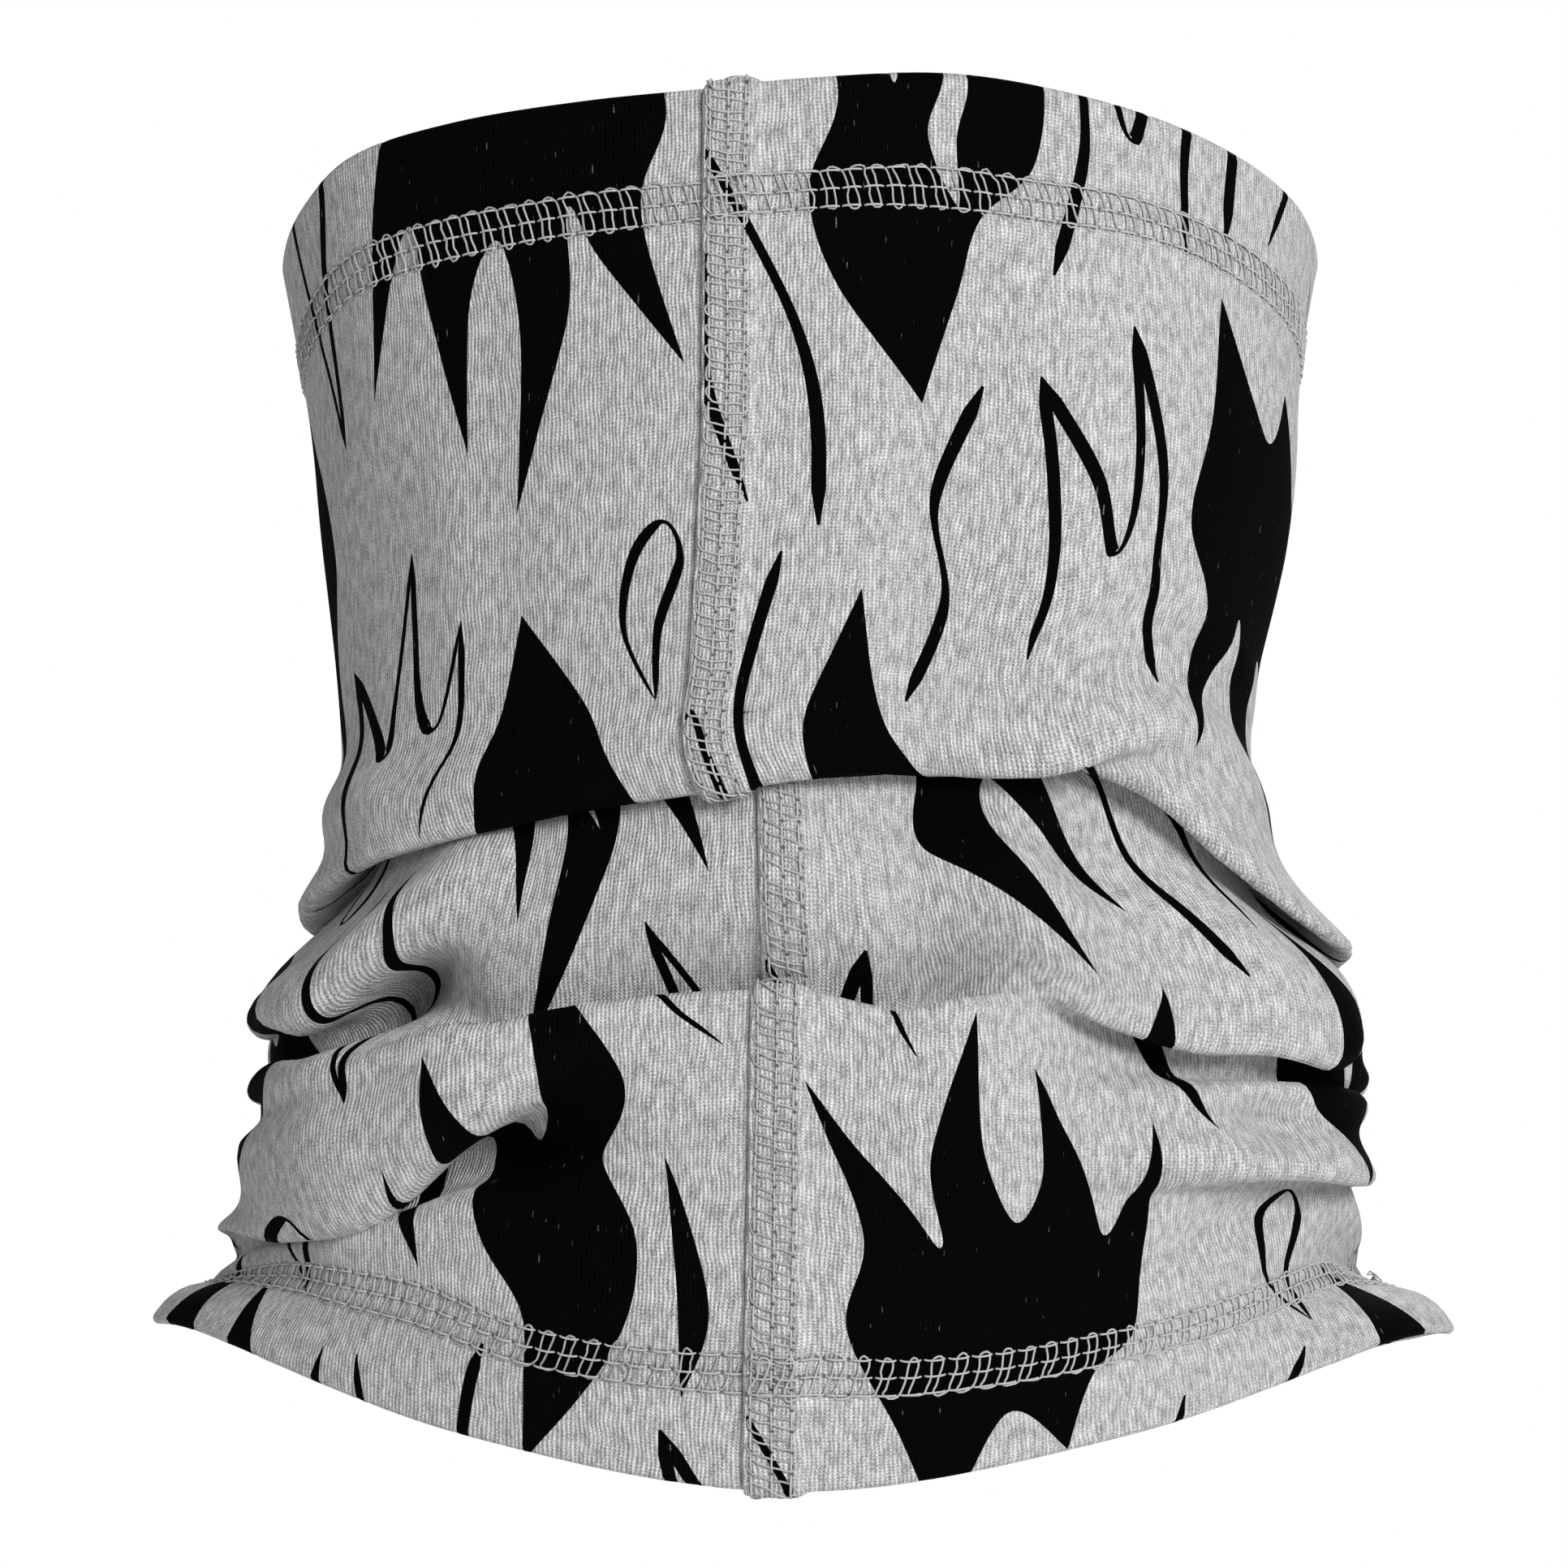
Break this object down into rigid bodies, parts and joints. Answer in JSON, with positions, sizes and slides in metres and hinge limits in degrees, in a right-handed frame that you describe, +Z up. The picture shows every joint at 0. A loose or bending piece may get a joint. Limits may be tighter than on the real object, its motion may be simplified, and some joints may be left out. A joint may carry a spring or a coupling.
{
  "type": "neck gaiter",
  "caption": "Knitted jersey tube worn round the neck, bunched in soft folds, with coverstitched hems, one upright front seam and an all-over flame print.",
  "frame": {"origin": "middle of the neck opening, on the tube's axis, halfway between the highest and lowest points of the front", "axes": "+Z up along the neck, -Y towards the front with the seam, +X towards the wearer's left"},
  "size_m": [0.2381, 0.1519, 0.2356],
  "materials": {
    "jersey": "heather grey single jersey, matt, brushed by wear, black pigment print on the face side only",
    "thread": "light grey textured polyester sewing thread, slight sheen"
  },
  "bodies": {
    "root": {"knit_panel": "jersey", "top_hem_needle_thread_outer": "thread", "top_hem_needle_thread_middle": "thread", "top_hem_needle_thread_inner": "thread", "top_hem_cover_thread": "thread", "top_hem_looper_thread": "thread", "bottom_hem_needle_thread_outer": "thread", "bottom_hem_needle_thread_middle": "thread", "bottom_hem_needle_thread_inner": "thread", "bottom_hem_cover_thread": "thread", "bottom_hem_looper_thread": "thread", "seam_needle_thread_left": "thread", "seam_needle_thread_middle": "thread", "seam_needle_thread_right": "thread", "seam_cover_thread": "thread", "seam_looper_thread": "thread", "joining_needle_thread": "thread", "joining_upper_looper_thread": "thread", "joining_lower_looper_thread": "thread"}
  },
  "joints": []
}
